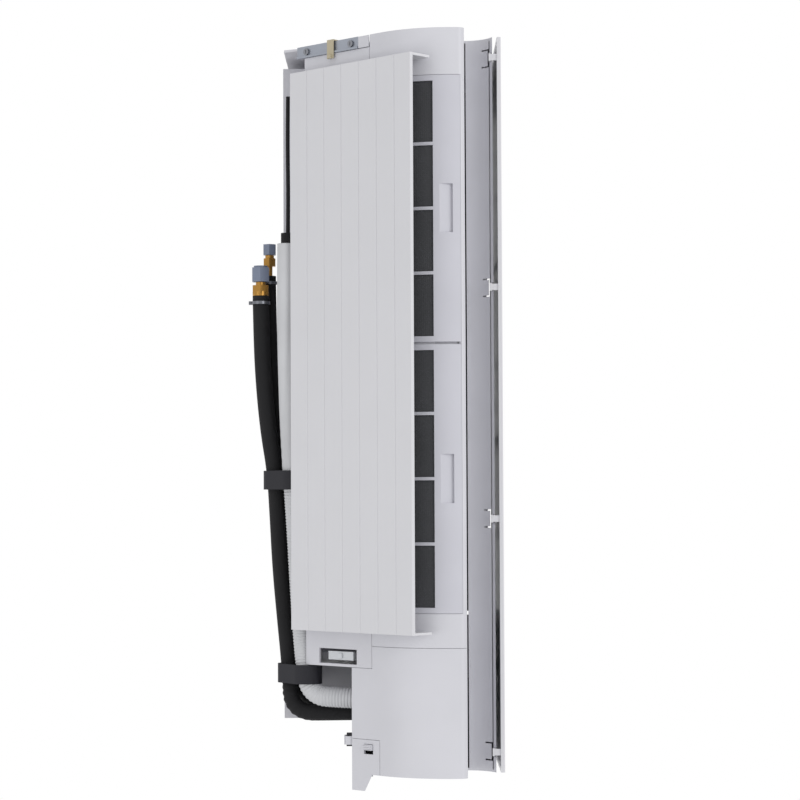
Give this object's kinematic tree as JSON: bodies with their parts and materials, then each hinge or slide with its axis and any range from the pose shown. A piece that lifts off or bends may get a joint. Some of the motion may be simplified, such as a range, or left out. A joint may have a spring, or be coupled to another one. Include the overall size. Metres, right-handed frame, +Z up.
{
  "type": "wall-mounted air conditioner indoor unit",
  "caption": "Wall-mounted air conditioner indoor unit with hinged front panel and grooved intake flap, pull-out filters, cross-flow fan, outlet flap and vanes, capped pipes and drain hose.",
  "frame": {"origin": "centre of the flat rear face that lies against the wall", "axes": "+X along the length towards the end with the pipes, +Y out of the rear face into the wall, +Z up"},
  "size_m": [0.8176, 0.2808, 0.323],
  "materials": {
    "casing_white": "fine satin moulded surface",
    "panel_white": "smooth semi-gloss",
    "filter_white": "satin",
    "mesh_grey": "fine woven mesh",
    "coil_aluminium": "fin pack",
    "fan_grey": "satin",
    "bearing_rubber": "matt",
    "motor_metal": "satin",
    "duct_grey": "satin",
    "board_green": "lacquered",
    "terminal_black": "satin",
    "bar_steel": "zinc plated",
    "screw_steel": "plated",
    "clip_beige": "spring steel",
    "clip_clear": "translucent",
    "block_dark": "satin",
    "foam_black": "closed-cell foam",
    "hose_white": "soft corrugated",
    "strap_black": "woven tape",
    "nut_brass": "machined",
    "cap_slate": "satin",
    "clamp_steel": "plated"
  },
  "bodies": {
    "casing": {"bar_cap": "casing_white", "bar_clip": "clip_beige", "bar_screws": "screw_steel", "cabinet": "casing_white", "clip_block": "block_dark", "clip_strip": "casing_white", "coil_front": "coil_aluminium", "coil_lower": "coil_aluminium", "coil_rear": "coil_aluminium", "control_board": "board_green", "control_box": "duct_grey", "drain_hose": "hose_white", "end_bar": "bar_steel", "end_cover": "casing_white", "fan_bearing": "bearing_rubber", "fan_motor": "motor_metal", "gas_cap": "cap_slate", "gas_clamp": "clamp_steel", "gas_nut": "nut_brass", "gas_pipe": "foam_black", "hose_sleeve": "hose_white", "liquid_cap": "cap_slate", "liquid_clamp": "clamp_steel", "liquid_nut": "nut_brass", "liquid_pipe": "foam_black", "lower_casing": "casing_white", "motor_clamp": "duct_grey", "outlet_duct": "duct_grey", "rear_chassis": "casing_white", "sensor_lead": "foam_black", "service_door": "casing_white", "slot_clip": "clip_clear", "strap_lower": "strap_black", "strap_upper": "strap_black", "terminal_block": "terminal_black"},
    "panel": {"front_panel": "panel_white"},
    "flap": {"intake_flap": "panel_white"},
    "filter_left": {"filter_frame_left": "filter_white", "filter_mesh_left": "mesh_grey"},
    "filter_right": {"filter_frame_right": "filter_white", "filter_mesh_right": "mesh_grey"},
    "fan": {"fan_wheel": "fan_grey"},
    "door": {"outlet_flap": "panel_white"},
    "latch": {"door_latch": "casing_white"},
    "link_left": {"vane_link_left": "duct_grey"},
    "link_right": {"vane_link_right": "duct_grey"},
    "vane_1": {"vane_1": "duct_grey"},
    "vane_2": {"vane_2": "duct_grey"},
    "vane_3": {"vane_3": "duct_grey"},
    "vane_4": {"vane_4": "duct_grey"},
    "vane_5": {"vane_5": "duct_grey"},
    "vane_6": {"vane_6": "duct_grey"},
    "vane_7": {"vane_7": "duct_grey"},
    "vane_8": {"vane_8": "duct_grey"},
    "vane_9": {"vane_9": "duct_grey"},
    "vane_10": {"vane_10": "duct_grey"}
  },
  "joints": [
    {"name": "panel_hinge", "type": "hinge", "parent": "casing", "child": "panel", "pos_m": [0, -0.233, 0.055], "axis": [-1, 0, 0], "range_deg": [0, 60]},
    {"name": "flap_hinge", "type": "hinge", "parent": "casing", "child": "flap", "pos_m": [0, -0.02183, -0.12401], "axis": [1, 0, 0], "range_deg": [0, 30]},
    {"name": "filter_slide_left", "type": "slide", "parent": "casing", "child": "filter_left", "axis": [0, -0.7181, -0.6959], "range_m": [0, 0.2]},
    {"name": "filter_slide_right", "type": "slide", "parent": "casing", "child": "filter_right", "axis": [0, -0.7181, -0.6959], "range_m": [0, 0.2]},
    {"name": "fan_spin", "type": "hinge", "parent": "casing", "child": "fan", "pos_m": [0, -0.118, -0.063], "axis": [1, 0, 0], "continuous": true},
    {"name": "outlet_hinge", "type": "hinge", "parent": "casing", "child": "door", "pos_m": [0, -0.1974, -0.211], "axis": [1, 0, 0], "range_deg": [0, 75]},
    {"name": "latch_slide", "type": "slide", "parent": "casing", "child": "latch", "axis": [1, 0, 0], "range_m": [0, 0.0035]},
    {"name": "vane_turn_1", "type": "hinge", "parent": "casing", "child": "vane_1", "pos_m": [-0.318, -0.172, -0.198], "axis": [0, 0, 1], "range_deg": [-30, 30]},
    {"name": "vane_turn_2", "type": "hinge", "parent": "casing", "child": "vane_2", "pos_m": [-0.264, -0.172, -0.198], "axis": [0, 0, 1], "range_deg": [-30, 30]},
    {"name": "vane_turn_3", "type": "hinge", "parent": "casing", "child": "vane_3", "pos_m": [-0.21, -0.172, -0.198], "axis": [0, 0, 1], "range_deg": [-30, 30]},
    {"name": "vane_turn_4", "type": "hinge", "parent": "casing", "child": "vane_4", "pos_m": [-0.156, -0.172, -0.198], "axis": [0, 0, 1], "range_deg": [-30, 30]},
    {"name": "vane_turn_5", "type": "hinge", "parent": "casing", "child": "vane_5", "pos_m": [-0.102, -0.172, -0.198], "axis": [0, 0, 1], "range_deg": [-30, 30]},
    {"name": "vane_turn_6", "type": "hinge", "parent": "casing", "child": "vane_6", "pos_m": [-0.036, -0.172, -0.198], "axis": [0, 0, 1], "range_deg": [-30, 30]},
    {"name": "vane_turn_7", "type": "hinge", "parent": "casing", "child": "vane_7", "pos_m": [0.018, -0.172, -0.198], "axis": [0, 0, 1], "range_deg": [-30, 30]},
    {"name": "vane_turn_8", "type": "hinge", "parent": "casing", "child": "vane_8", "pos_m": [0.072, -0.172, -0.198], "axis": [0, 0, 1], "range_deg": [-30, 30]},
    {"name": "vane_turn_9", "type": "hinge", "parent": "casing", "child": "vane_9", "pos_m": [0.126, -0.172, -0.198], "axis": [0, 0, 1], "range_deg": [-30, 30]},
    {"name": "vane_turn_10", "type": "hinge", "parent": "casing", "child": "vane_10", "pos_m": [0.18, -0.172, -0.198], "axis": [0, 0, 1], "range_deg": [-30, 30]},
    {"name": "link_slide_left", "type": "slide", "parent": "casing", "child": "link_left", "axis": [-1, 0, 0], "range_m": [-0.00628, 0.00628]},
    {"name": "link_slide_right", "type": "slide", "parent": "casing", "child": "link_right", "axis": [-1, 0, 0], "range_m": [-0.00628, 0.00628]}
  ],
  "couplings": [
    {"joint": "vane_turn_1", "follows": "link_slide_left", "rad_per_m": 83.333},
    {"joint": "vane_turn_2", "follows": "link_slide_left", "rad_per_m": 83.333},
    {"joint": "vane_turn_3", "follows": "link_slide_left", "rad_per_m": 83.333},
    {"joint": "vane_turn_4", "follows": "link_slide_left", "rad_per_m": 83.333},
    {"joint": "vane_turn_5", "follows": "link_slide_left", "rad_per_m": 83.333},
    {"joint": "vane_turn_6", "follows": "link_slide_right", "rad_per_m": 83.333},
    {"joint": "vane_turn_7", "follows": "link_slide_right", "rad_per_m": 83.333},
    {"joint": "vane_turn_8", "follows": "link_slide_right", "rad_per_m": 83.333},
    {"joint": "vane_turn_9", "follows": "link_slide_right", "rad_per_m": 83.333},
    {"joint": "vane_turn_10", "follows": "link_slide_right", "rad_per_m": 83.333}
  ]
}
